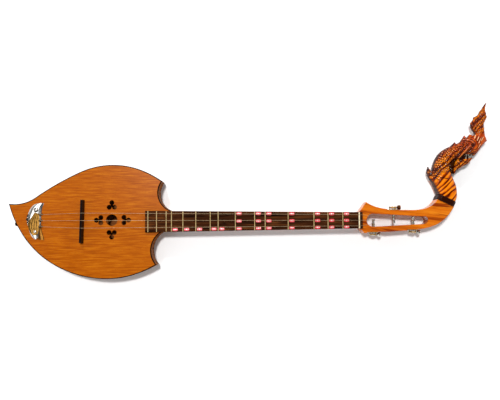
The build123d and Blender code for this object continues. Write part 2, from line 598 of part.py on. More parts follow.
# One worm thread, about +Z, that crosses the +X side half a pitch either side of the middle
with BuildPart() as worm_thread:
    with BuildLine(Plane.XY.offset(-WORM_THREAD_TURNS * WORM_PITCH / 2)) as thread_route:
        Helix(WORM_PITCH, WORM_THREAD_TURNS * WORM_PITCH, THREAD_ROOT_RADIUS)
    with BuildSketch(Plane((THREAD_ROOT_RADIUS, 0, -WORM_THREAD_TURNS * WORM_PITCH / 2),
                           x_dir=(1, 0, 0), z_dir=(0, 1, 0))):
        depth = WORM_CREST_RADIUS - THREAD_ROOT_RADIUS
        Polygon((0, -THREAD_ROOT_HALF), (depth, -THREAD_CREST_HALF),
                (depth, THREAD_CREST_HALF), (0, THREAD_ROOT_HALF), align=None)
    sweep(is_frenet=True)

for number, tuner in enumerate(TUNERS, 1):
    seat = seat_plane(tuner)
    down = tuner["side"]
    worm_place = Plane((tuner["x"], tuner["side"] * (tuner["seat"] + GEAR_OUT),
                        POST_Z - WORM_OFFSET), x_dir=(0, 0, 1), z_dir=(1, 0, 0))

    with BuildPart() as plate:
        with BuildSketch(seat):
            with Locations(((PLATE_BACK + PLATE_FRONT) / 2, down * (PLATE_DOWN - PLATE_UP) / 2)):
                RectangleRounded(PLATE_FRONT - PLATE_BACK, PLATE_UP + PLATE_DOWN, 2.5)
            Circle(POST_BORE_RADIUS, mode=Mode.SUBTRACT)
            with Locations(*plate_screw_places(tuner)):
                Circle(PLATE_SCREW_HOLE_RADIUS, mode=Mode.SUBTRACT)
        extrude(amount=PLATE_THICK)
        # Two ears that carry the worm shaft
        for ear_start in (-EAR_INNER - EAR_THICK, EAR_INNER):
            with BuildSketch(worm_place.offset(ear_start)):
                # Local y of this plane runs along the row's -Y or +Y, out of the peghead
                out = -tuner["side"]
                Circle(EAR_WIDTH / 2)
                with Locations((0, -out * GEAR_OUT / 2)):
                    Rectangle(EAR_WIDTH, GEAR_OUT)
                Circle(SHAFT_BORE_RADIUS, mode=Mode.SUBTRACT)
            extrude(amount=EAR_THICK)
    save(plate, f"tuner_plate_{number}")

    screws = [screw(Plane(seat.from_local_coords(Vector(x, y, PLATE_THICK + 0.03)),
                          x_dir=(1, 0, 0), z_dir=seat.z_dir), 2.1, 1.2, 0.8, 7.5, 0.5)
              for x, y in plate_screw_places(tuner)]
    save_group(screws, f"tuner_screws_{number}")

    with BuildPart() as worm:
        with BuildSketch(worm_place.offset(SHAFT_BACK)):
            Circle(SHAFT_RADIUS)
        extrude(amount=SHAFT_FRONT - SHAFT_BACK)
        with BuildSketch(worm_place):
            Circle(WORM_ROOT_RADIUS)
        extrude(amount=WORM_BODY_HALF, both=True)
        add(worm_thread.part.moved(worm_place.location))
    save(worm, f"worm_{number}")

    with BuildPart() as button:
        with BuildSketch(worm_place.offset(BUTTON_START)):
            Circle(BUTTON_RADIUS)
            Circle(SHAFT_RADIUS + 0.03, mode=Mode.SUBTRACT)
        extrude(amount=BUTTON_LENGTH)
        outer = button.edges().filter_by(GeomType.CIRCLE).filter_by(
            lambda edge: edge.radius > SHAFT_RADIUS + 1)
        fillet(outer, 1.4)
    save(button, f"button_{number}")

    with BuildPart() as gear:
        with BuildSketch(seat.offset(GEAR_FACE)):
            Circle(GEAR_ROOT_RADIUS)
            # One tooth points straight at the worm
            with PolarLocations(0, GEAR_TEETH, start_angle=90):
                Polygon((GEAR_ROOT_RADIUS - 0.3, -TOOTH_ROOT_WIDTH / 2),
                        (GEAR_TIP_RADIUS, -TOOTH_TIP_WIDTH / 2),
                        (GEAR_TIP_RADIUS, TOOTH_TIP_WIDTH / 2),
                        (GEAR_ROOT_RADIUS - 0.3, TOOTH_ROOT_WIDTH / 2), align=None)
            Circle(STUB_RADIUS + 0.03, mode=Mode.SUBTRACT)
        extrude(amount=GEAR_THICK)
    save(gear, f"gear_{number}")

    with BuildPart() as post:
        with BuildSketch(Plane(seat.origin, x_dir=(1, 0, 0), z_dir=(0, 0, 1))):
            with BuildLine():
                tip, stub_end = -tuner["reach"], GEAR_FACE + GEAR_THICK - 0.05
                profile = [(0, tip), (POST_RADIUS - 0.6, tip), (POST_RADIUS, tip + 0.6),
                           (POST_RADIUS, WAIST_END), (POST_WAIST_RADIUS, WAIST_END + 0.6),
                           (POST_WAIST_RADIUS, WAIST_START - 0.6), (POST_RADIUS, WAIST_START),
                           (POST_RADIUS, GEAR_FACE - 0.02), (STUB_RADIUS, GEAR_FACE - 0.02),
                           (STUB_RADIUS, stub_end), (TAP_RADIUS, stub_end),
                           (TAP_RADIUS, stub_end - TAP_DEPTH), (0, stub_end - TAP_DEPTH)]
                Polyline(*[(r, tuner["side"] * out) for r, out in profile], close=True)
            make_face()
        revolve(axis=Axis(seat.origin, (0, 1, 0)))
        with BuildSketch(Plane(seat.from_local_coords(Vector(0, 0, STRING_HOLE_PLACE)),
                               x_dir=(0, 1, 0), z_dir=(1, 0, 0))):
            Circle(STRING_HOLE_RADIUS)
        extrude(amount=10, both=True, mode=Mode.SUBTRACT)
    save(post, f"post_{number}")

    screw_place = Plane(seat.from_local_coords(Vector(0, 0, GEAR_FACE + GEAR_THICK + 0.02)),
                        x_dir=(1, 0, 0), z_dir=seat.z_dir)
    save_group([screw(screw_place, 2.6, 1.4, 0.95, 5.0, 0.6)], f"gear_screw_{number}")

    with BuildPart() as winding:
        for turn in range(WINDING_TURNS):
            y = tuner["string_y"] + tuner["side"] * WINDING_PITCH * (turn + 1.1)
            with Locations(Location((tuner["x"], y, POST_Z), (90, 0, 0))):
                Torus(wrap_radius, STRING_RADIUS)
    save(winding, f"winding_{number}")
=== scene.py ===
from math import cos, pi, radians, sin

import bmesh
import bpy
import numpy as np
from mathutils import Matrix, Vector


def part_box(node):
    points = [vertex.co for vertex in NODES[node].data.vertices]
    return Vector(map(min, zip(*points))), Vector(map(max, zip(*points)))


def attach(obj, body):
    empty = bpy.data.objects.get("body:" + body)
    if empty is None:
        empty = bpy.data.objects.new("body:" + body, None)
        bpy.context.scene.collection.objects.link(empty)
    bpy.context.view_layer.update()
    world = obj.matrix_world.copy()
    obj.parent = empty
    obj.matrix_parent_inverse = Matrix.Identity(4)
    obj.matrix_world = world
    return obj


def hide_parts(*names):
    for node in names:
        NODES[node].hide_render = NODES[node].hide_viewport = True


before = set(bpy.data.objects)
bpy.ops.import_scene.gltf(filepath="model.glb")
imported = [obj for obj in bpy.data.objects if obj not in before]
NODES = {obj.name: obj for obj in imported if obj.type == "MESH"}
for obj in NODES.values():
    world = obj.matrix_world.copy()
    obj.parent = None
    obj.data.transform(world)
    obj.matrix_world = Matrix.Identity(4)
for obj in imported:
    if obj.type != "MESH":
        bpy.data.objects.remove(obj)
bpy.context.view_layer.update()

MM = 0.001


def mm(*values):
    """Millimetres in the object's frame, as a Blender vector in metres."""
    return Vector(values) * MM


# ------------------------------------------------------------------ camera
IMAGE_WIDTH = 500
AIM = mm(362.5, 45.7, 45)
CAMERA_PLACE = mm(362.5, -24, 1300)
FOCAL_PIXELS = 577
NECK_RISE = radians(0.374)


def make_camera():
    """Looks down at the object, with the neck rising slightly across the view."""
    data = bpy.data.cameras.new("camera")
    data.sensor_width = 36
    data.lens = FOCAL_PIXELS / IMAGE_WIDTH * data.sensor_width
    camera = bpy.data.objects.new("camera", data)
    bpy.context.scene.collection.objects.link(camera)
    look = (AIM - CAMERA_PLACE).normalized()
    right = look.cross(Vector((0, 1, 0))).normalized()
    up = right.cross(look)
    turn = Matrix.Rotation(-NECK_RISE, 3, look)
    basis = Matrix((turn.transposed() @ right, turn.transposed() @ up, -look)).transposed()
    camera.matrix_world = Matrix.Translation(CAMERA_PLACE) @ basis.to_4x4()
    bpy.context.scene.camera = camera


make_camera()


# ------------------------------------------------------------------ floor and lights
FLOOR_COLOUR, FLOOR_ROUGHNESS = (0.94, 0.94, 0.94, 1), 0.9
# Heights of the world's two tones, as parts of the sky from nadir to zenith, and its strength
HORIZON_PLACE, OVERHEAD_PLACE = 0.5, 0.86
OVERHEAD_COLOUR = (0.07, 0.07, 0.075, 1)
WORLD_STRENGTH = 0.95


def make_floor():
    """Plain pale paper, half a millimetre below the object's back."""
    size, drop = 4.0, -0.0005
    mesh = bpy.data.meshes.new("floor")
    mesh.from_pydata([(-size, -size, drop), (size, -size, drop), (size, size, drop),
                      (-size, size, drop)], [], [(0, 1, 2, 3)])
    floor = bpy.data.objects.new("floor", mesh)
    bpy.context.scene.collection.objects.link(floor)
    material = bpy.data.materials.new("floor_paper")
    material.use_nodes = True
    shader = material.node_tree.nodes["Principled BSDF"]
    shader.inputs["Base Color"].default_value = FLOOR_COLOUR
    shader.inputs["Roughness"].default_value = FLOOR_ROUGHNESS
    mesh.materials.append(material)


def make_light(name, place, target, size, power):
    """A square soft box that faces its target. Size is in metres and power in watts."""
    data = bpy.data.lights.new(name, "AREA")
    data.shape = "RECTANGLE"
    data.size = data.size_y = size
    data.energy = power
    light = bpy.data.objects.new(name, data)
    light.location = place
    light.rotation_euler = (target - place).to_track_quat("-Z", "Y").to_euler()
    bpy.context.scene.collection.objects.link(light)


def make_world():
    """A room that is bright towards the horizon and dim overhead."""
    world = bpy.data.worlds.new("world")
    bpy.context.scene.world = world
    world.use_nodes = True
    nodes, links = world.node_tree.nodes, world.node_tree.links
    place = nodes.new("ShaderNodeTexCoord")
    split = nodes.new("ShaderNodeSeparateXYZ")
    ramp = nodes.new("ShaderNodeValToRGB")
    links.new(place.outputs["Generated"], split.inputs[0])
    links.new(split.outputs["Z"], ramp.inputs["Fac"])
    links.new(ramp.outputs["Color"], nodes["Background"].inputs["Color"])
    bright, dim = ramp.color_ramp.elements
    bright.position, bright.color = HORIZON_PLACE, (1, 1, 1, 1)
    dim.position, dim.color = OVERHEAD_PLACE, OVERHEAD_COLOUR
    nodes["Background"].inputs["Strength"].default_value = WORLD_STRENGTH


make_floor()
make_light("key", Vector((-0.24, 1.15, 5.0)), mm(360, 20, 0), 0.5, 196)
make_light("tail_glow", Vector((-0.95, 0.1, 2.3)), mm(-90, 0, 45), 0.45, 1.5)
make_light("glint", Vector((-0.35, 1.95, 1.75)), mm(800, 120, 40), 0.2, 24)
make_world()
bpy.context.scene.view_settings.view_transform = "Standard"


# ------------------------------------------------------------------ material helpers
NOISE_ROUGHNESS = 0.55


def srgb(*levels):
    """Linear colour from red, green and blue levels of 0 to 255."""
    linear = [((v / 255 + 0.055) / 1.055) ** 2.4 if v > 10 else v / 255 / 12.92 for v in levels]
    return (*linear, 1)


class Paint:
    """A material under construction: every method adds a node and returns its output."""

    def __init__(self, name, roughness=0.4, metallic=0.0, coat=0.0, coat_roughness=0.1,
                 specular=0.5):
        self.material = bpy.data.materials.new(name)
        self.material.use_nodes = True
        self.tree = self.material.node_tree
        self.shader = self.tree.nodes["Principled BSDF"]
        for socket, value in (("Roughness", roughness), ("Metallic", metallic),
                              ("Coat Weight", coat), ("Coat Roughness", coat_roughness),
                              ("Specular IOR Level", specular)):
            self.shader.inputs[socket].default_value = value
        self.place = self.tree.nodes.new("ShaderNodeTexCoord").outputs["Object"]

    def wire(self, source, socket):
        self.tree.links.new(source, socket)

    def node(self, kind, **settings):
        made = self.tree.nodes.new("ShaderNode" + kind)
        for key, value in settings.items():
            setattr(made, key, value)
        return made

    def stretch(self, scale, turn=(0, 0, 0)):
        """Object coordinates turned by degrees, then scaled, in repeats per metre."""
        first = self.node("Mapping", vector_type="TEXTURE")
        first.inputs["Rotation"].default_value = [radians(angle) for angle in turn]
        self.wire(self.place, first.inputs["Vector"])
        second = self.node("Mapping")
        second.inputs["Scale"].default_value = scale
        self.wire(first.outputs["Vector"], second.inputs["Vector"])
        return second.outputs["Vector"]

    def noise(self, vector, detail, distortion=0.0):
        made = self.node("TexNoise")
        made.inputs["Scale"].default_value = 1.0
        made.inputs["Detail"].default_value = detail
        made.inputs["Distortion"].default_value = distortion
        made.inputs["Roughness"].default_value = NOISE_ROUGHNESS
        self.wire(vector, made.inputs["Vector"])
        return made.outputs["Fac"]

    def bands(self, vector, distortion, detail, detail_scale):
        made = self.node("TexWave", wave_type="BANDS", bands_direction="Y")
        made.inputs["Scale"].default_value = 1.0
        made.inputs["Distortion"].default_value = distortion
        made.inputs["Detail"].default_value = detail
        made.inputs["Detail Scale"].default_value = detail_scale
        self.wire(vector, made.inputs["Vector"])
        return made.outputs["Fac"]

    def ramp(self, factor, *stops):
        made = self.node("ValToRGB")
        ramp = made.color_ramp
        while len(ramp.elements) < len(stops):
            ramp.elements.new(0.5)
        for element, (position, colour) in zip(ramp.elements, stops):
            element.position = position
            element.color = colour
        self.wire(factor, made.inputs["Fac"])
        return made.outputs["Color"]

    def shade(self, factor, *stops):
        """A ramp of grey levels."""
        return self.ramp(factor, *[(place, (level, level, level, 1)) for place, level in stops])

    def mix(self, factor, first, second):
        made = self.node("Mix", data_type="RGBA")
        # The node's factor and its two colour sockets
        for socket, source in ((0, factor), (6, first), (7, second)):
            if isinstance(source, (int, float, tuple)):
                made.inputs[socket].default_value = source
            else:
                self.wire(source, made.inputs[socket])
        return made.outputs[2]

    def attribute(self, name):
        return self.node("Attribute", attribute_name=name).outputs["Fac"]

    def axis(self, letter, low, high):
        """0 to 1 as an object coordinate goes from low to high, in millimetres."""
        split = self.node("SeparateXYZ")
        self.wire(self.place, split.inputs[0])
        made = self.node("MapRange")
        made.inputs["From Min"].default_value = low * MM
        made.inputs["From Max"].default_value = high * MM
        self.wire(split.outputs[letter], made.inputs["Value"])
        return made.outputs["Result"]

    def colour(self, source):
        self.wire(source, self.shader.inputs["Base Color"])

    def rough(self, source, low, high):
        made = self.node("MapRange")
        made.inputs["To Min"].default_value = low
        made.inputs["To Max"].default_value = high
        self.wire(source, made.inputs["Value"])
        self.wire(made.outputs["Result"], self.shader.inputs["Roughness"])

    def bump(self, source, depth):
        """Depth is in millimetres."""
        made = self.node("Bump")
        made.inputs["Strength"].default_value = 1.0
        made.inputs["Distance"].default_value = depth * MM
        self.wire(source, made.inputs["Height"])
        if self.shader.inputs["Normal"].is_linked:
            self.wire(self.shader.inputs["Normal"].links[0].from_socket, made.inputs["Normal"])
        self.wire(made.outputs["Normal"], self.shader.inputs["Normal"])


def dress(material, *names):
    """Gives CAD nodes or new pieces this material alone."""
    for name in names:
        mesh = (NODES[name] if name in NODES else bpy.data.objects[name]).data
        mesh.materials.clear()
        mesh.materials.append(material)


# ------------------------------------------------------------------ woods
def grain_wood(name, dark, middle_tone, light, turn=0.0, across=420.0, along=7.0, gloss=0.35,
               coat=0.4, coat_roughness=0.08, bump=0.03, broad_share=0.45, streaks=None,
               streak_scale=(5, 120, 30), streak_edge=0.56, flecks=0.35):
    """Straight-grained wood: fine lines along X, turned in plan, with broad tone changes."""
    paint = Paint(name, coat=coat, coat_roughness=coat_roughness, specular=0.0)
    fine = paint.noise(paint.stretch((along, across, across * 0.6), (0, 0, turn)), 4, 0.2)
    broad = paint.noise(paint.stretch((4, 26, 26), (0, 0, turn)), 3, 0.6)
    grain = paint.mix(broad_share, fine, broad)
    tone = paint.ramp(grain, (0.3, dark), (0.5, middle_tone), (0.7, light))
    if streaks:
        lines = paint.noise(paint.stretch(streak_scale, (0, 0, turn)), 3, 0.9)
        tone = paint.mix(paint.shade(lines, (streak_edge, 0), (streak_edge + 0.12, 0.9)), tone,
                         streaks)
    pores = paint.noise(paint.stretch((along * 9, across * 3.2, across * 3), (0, 0, turn)), 2)
    tone = paint.mix(paint.shade(pores, (0.55, 0), (0.72, flecks)), tone, dark)
    paint.colour(tone)
    paint.rough(fine, gloss - 0.07, gloss + 0.1)
    paint.bump(fine, bump)
    return paint.material


dress(grain_wood("soundboard_spruce", srgb(136, 62, 1), srgb(163, 81, 3), srgb(184, 104, 12),
                 across=330, along=24, gloss=0.45, coat=0.1, coat_roughness=0.25,
                 broad_share=0.12, streaks=srgb(146, 66, 2), streak_scale=(16, 420, 90),
                 streak_edge=0.58, flecks=0.6), "soundboard")
dress(grain_wood("body_hardwood", srgb(78, 38, 14), srgb(118, 68, 32), srgb(148, 94, 52),
                 across=260, gloss=0.4, coat=0.1, streaks=srgb(66, 30, 10)), "body_shell")
dress(grain_wood("edging_dark", srgb(12, 3, 1), srgb(26, 8, 2), srgb(48, 18, 5),
                 gloss=0.5, coat=0.0), "edge_binding")
dress(grain_wood("brace_spruce", srgb(150, 112, 66), srgb(184, 146, 94), srgb(206, 172, 120),
                 turn=90, gloss=0.6, coat=0), "brace_lower", "brace_upper")
dress(grain_wood("neck_hardwood", srgb(96, 40, 10), srgb(138, 64, 18), srgb(168, 88, 28),
                 across=220, gloss=0.3, coat=0.25, streaks=srgb(80, 28, 6)), "neck")
dress(grain_wood("fretboard_rosewood", srgb(18, 8, 4), srgb(58, 29, 13), srgb(112, 64, 28),
                 across=210, along=14, gloss=0.42, coat=0.1, broad_share=0.3,
                 streaks=srgb(14, 6, 4), streak_scale=(13, 190, 60), streak_edge=0.55),
      "fretboard")
dress(grain_wood("peghead_wood", srgb(144, 50, 1), srgb(196, 98, 10), srgb(222, 132, 28),
                 turn=-8, across=150, along=7, gloss=0.26, coat=0.8, broad_share=0.5,
                 streaks=srgb(116, 32, 2), streak_scale=(8, 110, 30), streak_edge=0.53),
      "peghead")
dress(grain_wood("collar_blackwood", srgb(12, 3, 1), srgb(34, 10, 4), srgb(60, 20, 9),
                 turn=-25, gloss=0.3, coat=0.25), "collar_band")
dress(grain_wood("ebony", srgb(10, 5, 4), srgb(24, 10, 6), srgb(52, 22, 10), turn=88,
                 gloss=0.24, coat=0.4), "bridge", "strap_button")


def carved_wood():
    """Zebra-striped orange wood, redder towards the crest, with painted shade in its cuts, on its
    side walls and in its mouth, and painted highlights on its highest ridges.
    """
    paint = Paint("naga_zebrawood", coat=0.35, coat_roughness=0.12, specular=0.0)
    wide = paint.bands(paint.stretch((8, 31, 9), (0, 0, 44)), 10.0, 4, 1.6)
    fine = paint.noise(paint.stretch((9, 300, 120), (0, 0, 52)), 4, 0.4)
    low = paint.ramp(paint.mix(0.35, wide, fine), (0.17, srgb(60, 12, 1)),
                     (0.32, srgb(140, 48, 1)), (0.46, srgb(200, 92, 3)),
                     (0.85, srgb(230, 130, 14)))
    high = paint.ramp(paint.mix(0.75, wide, fine), (0.25, srgb(112, 26, 1)),
                      (0.45, srgb(158, 52, 2)), (0.8, srgb(196, 80, 4)))
    redness = paint.shade(paint.axis("Y", 130, 262), (0, 0), (0.22, 0.9), (0.42, 1),
                          (0.55, 0.25), (0.8, 0.25), (1, 1))
    tone = paint.mix(redness, low, high)
    # The highest ridges and the eye's dome are painted pale, as highlights that stand in for
    # glints
    with_painted_glints = paint.mix(paint.attribute("carving_painted_glint"), tone, srgb(255, 220, 168))
    # Cuts, side walls and the back of the mouth are painted dark as shade
    paint.colour(paint.mix(paint.attribute("carving_painted_shade"), with_painted_glints, srgb(34, 6, 1)))
    paint.rough(fine, 0.1, 0.24)
    paint.bump(fine, 0.05)
    return paint.material


# ------------------------------------------------------------------ metals and small parts
def metal(name, light, dark, roughness, scratches=(900, 60, 900)):
    """Metal with fine scratches and cloudy patches of tone and polish."""
    paint = Paint(name, metallic=1.0)
    lines = paint.noise(paint.stretch(scratches), 3)
    patches = paint.noise(paint.stretch((160, 160, 160)), 4)
    paint.colour(paint.ramp(paint.mix(0.6, lines, patches), (0.3, dark), (0.62, light)))
    paint.rough(patches, roughness * 0.6, roughness * 1.7)
    paint.bump(lines, 0.01)
    return paint.material


fret_brass = metal("fret_brass", srgb(196, 174, 128), srgb(146, 116, 66), 0.42, (60, 900, 900))
dress(fret_brass, *[name for name in NODES if name.startswith("fret_") and name[5:].isdigit()])
steel = metal("screw_steel", srgb(226, 222, 214), srgb(140, 134, 126), 0.2)
dress(steel, *[name for name in NODES if "screw" in name], "worm_1", "worm_2", "worm_3")
wire_steel = metal("string_wire", srgb(186, 164, 132), srgb(128, 104, 76), 0.45, (60, 3000, 3000))
dress(wire_steel, "string_1", "string_2", "string_3")
plate_brass = metal("machine_plate", srgb(206, 176, 104), srgb(132, 100, 44), 0.26)
dress(plate_brass, "tuner_plate_1", "tuner_plate_2", "tuner_plate_3")
gear_brass = metal("gear_brass", srgb(230, 190, 96), srgb(160, 116, 44), 0.2)
dress(gear_brass, "gear_1", "gear_2", "gear_3")
chrome = metal("bright_chrome", srgb(206, 200, 190), srgb(110, 102, 92), 0.16)
dress(chrome, "post_1", "post_2", "post_3")


def bone(name, dark, light):
    """Satin bone with fine streaks."""
    paint = Paint(name, roughness=0.35)
    grain = paint.noise(paint.stretch((900, 90, 900)), 3)
    paint.colour(paint.ramp(grain, (0.3, dark), (0.7, light)))
    paint.bump(grain, 0.02)
    return paint.material


dress(bone("nut_bone", srgb(206, 186, 140), srgb(238, 226, 194)), "nut")


def sticker():
    """Glossy red film with a slight mottle."""
    paint = Paint("sticker_red", roughness=0.3, coat=0.4)
    tone = paint.noise(paint.stretch((400, 400, 400)), 3)
    paint.colour(paint.ramp(tone, (0.3, srgb(196, 18, 34)), (0.7, srgb(224, 40, 56))))
    paint.bump(tone, 0.01)
    return paint.material


dress(sticker(), "fret_markers")


# ------------------------------------------------------------------ mesh helpers
def smooth_rows(rows, samples):
    """Catmull-Rom through rows of numbers, with this many samples between two rows."""
    rows = np.array(rows, float)
    padded = np.vstack([2 * rows[0] - rows[1], rows, 2 * rows[-1] - rows[-2]])
    out = []
    for a, b, c, d in zip(padded, padded[1:], padded[2:], padded[3:]):
        for t in np.arange(samples) / samples:
            out.append(0.5 * (2 * b + (c - a) * t + (2 * a - 5 * b + 4 * c - d) * t ** 2
                              + (3 * b - a - 3 * c + d) * t ** 3))
    out.append(rows[-1])
    return np.array(out)


class Shape:
    """Vertices and faces in millimetres, gathered from several closed lofts."""

    def __init__(self):
        self.points, self.faces = [], []

    def loft(self, rings):
        """Joins rings of equal count and closes both ends with a fan."""
        start, count = len(self.points), len(rings[0])
        for ring in rings:
            self.points += [tuple(point) for point in ring]
        for row in range(len(rings) - 1):
            for i in range(count):
                a, b = start + row * count + i, start + row * count + (i + 1) % count
                self.faces.append((a, b, b + count, a + count))
        for first, ring, flip in ((start, rings[0], True), (start + (len(rings) - 1) * count,
                                                           rings[-1], False)):
            centre = len(self.points)
            self.points.append(tuple(np.mean(np.array(ring), axis=0)))
            for i in range(count):
                edge = (first + i, first + (i + 1) % count, centre)
                self.faces.append(edge[::-1] if flip else edge)

    def piece(self, name, flat_angle=None):
        mesh = bpy.data.meshes.new(name)
        mesh.from_pydata([tuple(MM * v for v in point) for point in self.points], [], self.faces)
        work = bmesh.new()
        work.from_mesh(mesh)
        bmesh.ops.remove_doubles(work, verts=work.verts, dist=1e-7)
        bmesh.ops.recalc_face_normals(work, faces=work.faces)
        work.to_mesh(mesh)
        work.free()
        made = bpy.data.objects.new(name, mesh)
        bpy.context.scene.collection.objects.link(made)
        if flat_angle is None:
            mesh.polygons.foreach_set("use_smooth", [True] * len(mesh.polygons))
        else:
            mesh.shade_smooth()
            mesh.set_sharp_from_angle(angle=radians(flat_angle))
        return made


def apply_modifiers(piece):
    graph = bpy.context.evaluated_depsgraph_get()
    mesh = bpy.data.meshes.new_from_object(piece.evaluated_get(graph))
    piece.modifiers.clear()
    old, piece.data = piece.data, mesh
    mesh.name = piece.name
    bpy.data.meshes.remove(old)


def ribbon(stations, samples, sides, power=2.6):
    """Rings across a body of two plan edges. A station is left x, y, right x, y, low z, high z,
    with an optional power of its superellipse section."""
    rows = [(*station, power) if len(station) == 6 else station for station in stations]
    rings = []
    for lx, ly, rx, ry, low, high, roundness in smooth_rows(rows, samples):
        ring = []
        for i in range(sides):
            angle = 2 * pi * i / sides
            across = np.sign(cos(angle)) * abs(cos(angle)) ** (2 / roundness)
            upward = np.sign(sin(angle)) * abs(sin(angle)) ** (2 / roundness)
            ring.append(((lx + rx) / 2 + across * (rx - lx) / 2,
                         (ly + ry) / 2 + across * (ry - ly) / 2,
                         (low + high) / 2 + upward * (high - low) / 2))
        rings.append(ring)
    return rings


# ------------------------------------------------------------------ carved serpent head
# Plan edges in millimetres, back of the neck first, from the collar to the snout
SERPENT = (
    (778.6, 55.2, 813.4, 38.6, 3.0, 43.5, 4.2),
    (775.5, 61.5, 817.5, 49.5, 2.0, 43.6, 3.6),
    (772.5, 70.0, 819.0, 62.0, 1.0, 43.6, 3.0),
    (768.5, 79.5, 817.8, 75.0, 0.6, 43.6, 2.8),
    (764.5, 89.0, 813.0, 88.0, 0.6, 43.4, 2.7),
    (764.5, 99.5, 808.5, 100.0, 1.0, 43.0, 2.6),
    (767.0, 110.5, 804.5, 111.5, 1.5, 42.6, 2.5),
    (770.0, 123.5, 805.0, 122.0, 2.0, 42.2, 2.5),
    (775.5, 136.5, 810.5, 130.5, 2.5, 41.8, 2.5),
    (784.0, 148.5, 819.0, 133.5, 3.0, 41.4, 2.5),
    (796.0, 157.5, 827.0, 135.5, 3.5, 41.0, 2.6),
    (809.0, 163.5, 836.5, 142.5, 4.0, 40.4, 2.6),
    (822.0, 168.5, 847.5, 143.5, 5.0, 39.4, 2.6),
    (835.0, 175.5, 859.5, 141.5, 6.0, 38.2, 2.6),
    (849.0, 183.0, 868.5, 149.5, 7.5, 36.6, 2.5),
    (862.0, 188.5, 877.5, 161.5, 9.0, 34.6, 2.4),
    (873.0, 191.5, 885.0, 171.0, 11.0, 32.6, 2.3),
    (883.0, 189.0, 889.0, 177.0, 14.0, 30.0, 2.2),
)
LOWER_JAW = (
    (812.2, 104.4, 815.4, 101.2, 14.0, 32.0),
    (811.8, 113.2, 820.0, 107.8, 10.0, 35.0),
    (813.8, 122.4, 827.5, 113.4, 8.0, 36.0),
    (817.8, 131.6, 835.5, 118.6, 7.0, 37.0),
    (826.4, 135.0, 843.0, 121.6, 7.5, 36.5),
    (838.0, 135.0, 849.0, 126.6, 9.0, 35.0),
    (847.5, 136.6, 853.0, 131.4, 11.0, 33.0),
    (854.0, 138.2, 856.2, 135.8, 14.0, 30.0),
)
CREST = (
    (862.0, 180.0, 886.5, 176.0, 12.0, 32.0),
    (864.5, 190.5, 886.8, 186.0, 12.0, 32.0),
    (860.0, 198.0, 886.0, 196.0, 12.0, 32.0),
    (856.0, 205.0, 885.6, 204.0, 12.0, 32.0),
    (855.2, 212.5, 885.2, 213.0, 12.5, 31.5),
    (859.5, 220.5, 888.0, 220.0, 13.0, 31.0),
    (864.5, 227.5, 891.0, 226.0, 13.5, 30.5),
    (870.5, 232.0, 892.0, 231.5, 14.0, 30.0),
    (875.5, 238.5, 890.5, 239.0, 15.0, 29.0),
    (880.5, 246.0, 889.4, 246.5, 16.5, 27.5),
    (886.0, 254.5, 890.4, 253.5, 18.0, 26.0),
    (891.8, 261.4, 893.2, 260.6, 20.5, 23.5),
)
NECK_CURL = (
    (766.5, 83.0, 784.0, 90.0, 7.0, 37.0),
    (760.0, 92.0, 777.5, 100.5, 9.0, 35.0),
    (756.3, 101.5, 768.0, 106.0, 11.0, 33.0),
    (755.5, 109.5, 762.3, 111.5, 14.0, 30.0),
    (757.6, 118.3, 759.0, 117.8, 20.0, 24.0),
)
# Small flames on the silhouette: foot, foot, tip and the levels between which they stand
FLAMES = (
    ((806, 161), (825, 166), (819.5, 173.2), 11, 33),
    ((827, 167), (849, 178), (841.3, 188.5), 12, 32),
    ((844, 181), (864, 185), (853.5, 190.6), 13, 31),
    ((856, 206), (865, 224), (855.0, 215.8), 14, 30),
    ((861, 217), (872, 233), (862.0, 228.2), 15, 29),
    ((871, 231), (882, 246), (877.8, 243.8), 17, 27),
    ((886, 217), (889, 238), (893.6, 230.4), 16, 28),
    ((881, 189), (884, 168), (892.0, 176.4), 15, 29),
)
UPPER_TEETH = ((841.5, 143.2), (846.5, 142.9), (852.5, 141.6))
LOWER_TEETH = ((840.5, 135.9), (847.5, 136.6))
# Heights of the two rows of teeth, on the far and the near side of the mouth
TOOTH_ROWS = (14.0, 30.5)
# Sunken sheet at the back of the mouth and between the jaw and the neck, painted dark as shade
MOUTH_WEB = (
    (806.0, 104.0, 815.5, 102.5, 8.0, 24.0),
    (804.0, 113.0, 818.0, 109.5, 7.0, 25.0),
    (804.0, 122.0, 823.0, 117.0, 7.0, 26.0),
    (809.0, 133.0, 828.0, 124.0, 7.0, 27.0),
    (820.0, 143.0, 834.0, 130.0, 8.0, 27.0),
    (832.0, 147.5, 841.0, 132.0, 9.0, 27.0),
    (843.0, 147.0, 847.5, 133.5, 11.0, 25.0),
    (851.0, 144.0, 852.5, 137.0, 14.0, 23.0),
)
# Near this line and below WEB_LEVEL the carving is painted dark as shade
MOUTH_LINE = ((812, 104), (811.5, 114), (814, 124), (821, 133), (830, 138.5), (841, 140),
              (853, 139.8))
WEB_LEVEL = 31.5
VOXEL = 0.7
SCALE_LENGTH, SCALE_WIDTH = 4.2, 4.0
LOCK_WIDTH = 5.2
# Where the relief dies out towards the collar
COLLAR_PLACE = (792, 42)
# A cut this deep gets the full painted shade, and ridges between these heights are painted pale as
# highlights
FULL_SHADE, DEEPEST_SHADE = 0.95, 0.95
PAINTED_GLINT_HEIGHTS, BRIGHTEST_PAINTED_GLINT = (0.6, 1.2), 0.85
EYE_PLACE = (855.0, 164.4)
# Middle, radius, starting angle and hand of each curl
CURLS = (
    ((808, 143), 6.5, 200, 1), ((817, 155), 6.5, 210, 1), ((829, 166), 6.0, 215, 1),
    ((793, 128), 6.0, 190, 1), ((801, 155), 5.0, 20, -1), ((789, 142), 5.0, 10, -1),
    ((870, 203), 6.0, 230, -1), ((877, 219), 5.5, 240, 1), ((853.2, 150.7), 3.4, 200, 1),
)

